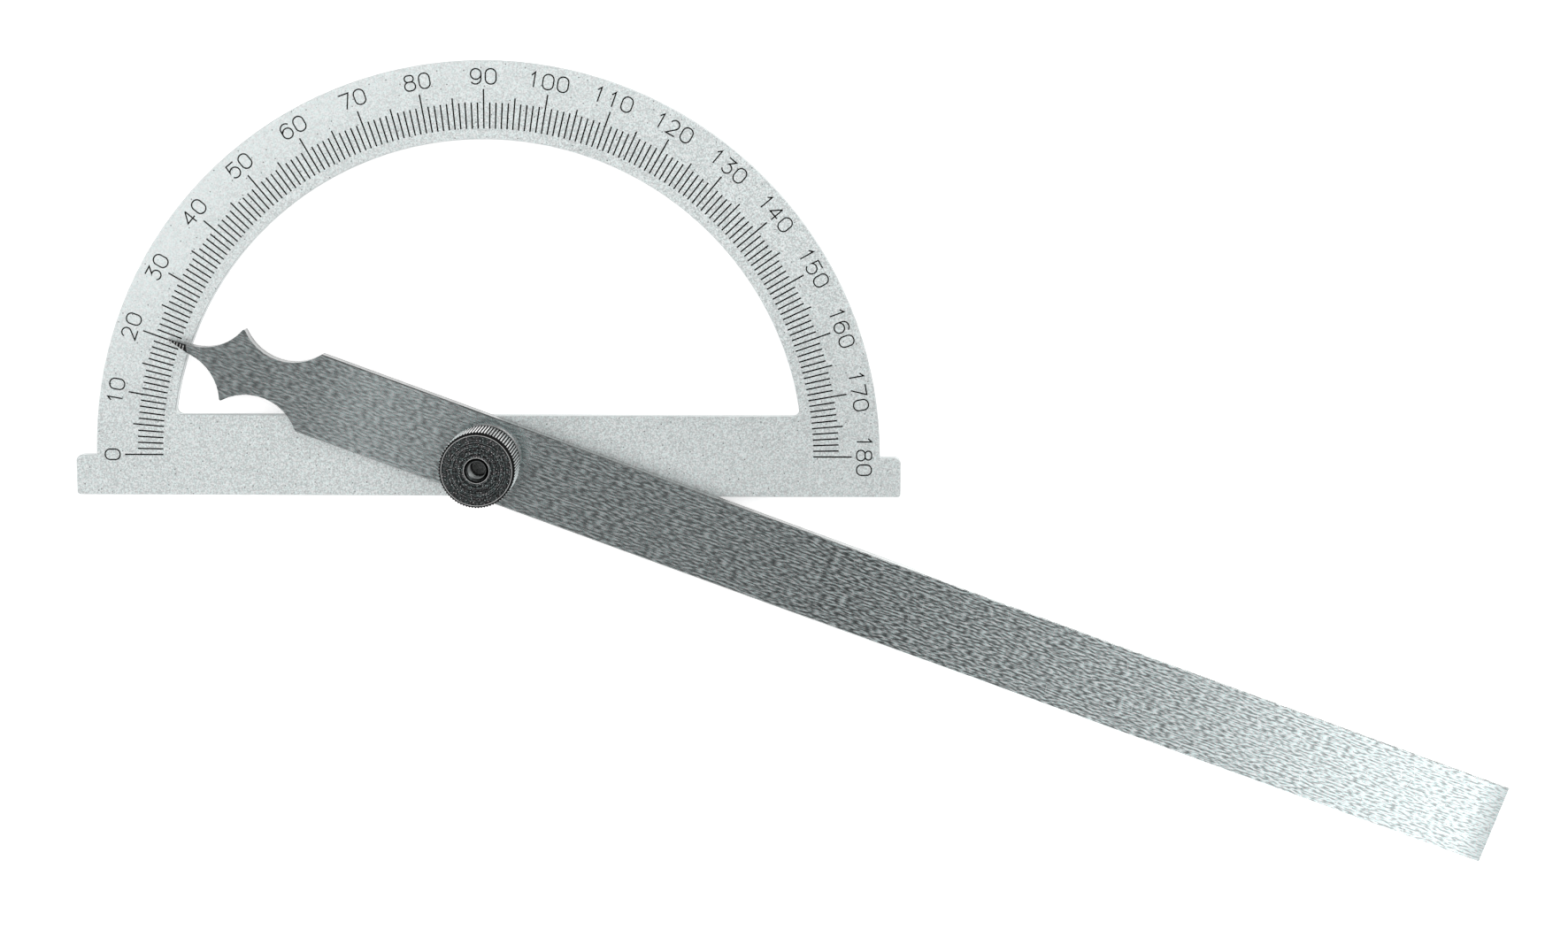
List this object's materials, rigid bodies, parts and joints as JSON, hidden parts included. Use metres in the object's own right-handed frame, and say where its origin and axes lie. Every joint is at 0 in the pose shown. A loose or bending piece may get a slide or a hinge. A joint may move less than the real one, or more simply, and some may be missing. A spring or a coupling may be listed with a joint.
{
  "type": "protractor with swinging arm",
  "caption": "Steel bevel protractor: open half-circle scale on a flat base, long straight arm with an ornamental pointer turning on a screw, clamped by a knurled nut.",
  "frame": {"origin": "on the pivot axis, in the underside of the scale plate", "axes": "+X along the base towards the 180 mark, +Y towards the 90 mark, +Z from the underside to the graduated side"},
  "size_m": [0.2759, 0.1534, 0.0218],
  "materials": {
    "satin_chrome": "satin, bead blasted",
    "black_fill": "matt",
    "brushed_steel": "lengthwise brushed",
    "turned_steel": "turned",
    "bright_nut": "turned, bright"
  },
  "bodies": {
    "scale": {"scale_plate": "satin_chrome", "graduation_fill": "black_fill", "numeral_fill": "black_fill", "pivot_screw": "turned_steel"},
    "swing_arm": {"arm": "brushed_steel"},
    "thrust_washer": {"washer": "turned_steel"},
    "nut": {"clamp_nut": "bright_nut"}
  },
  "joints": [
    {"name": "arm_swing", "type": "hinge", "parent": "scale", "child": "swing_arm", "pos_m": [0, 0, 0.0035], "axis": [0, 0, 1], "continuous": true},
    {"name": "washer_lift", "type": "slide", "parent": "scale", "child": "thrust_washer", "axis": [0, 0, 1], "range_m": [0, 0.0071]},
    {"name": "nut_spin", "type": "hinge", "parent": "thrust_washer", "child": "nut", "pos_m": [0, 0, 0.013], "axis": [0, 0, 1], "range_deg": [0, 3600]}
  ],
  "couplings": [
    {"joint": "washer_lift", "follows": "nut_spin", "m_per_rad": 0.00011141}
  ]
}
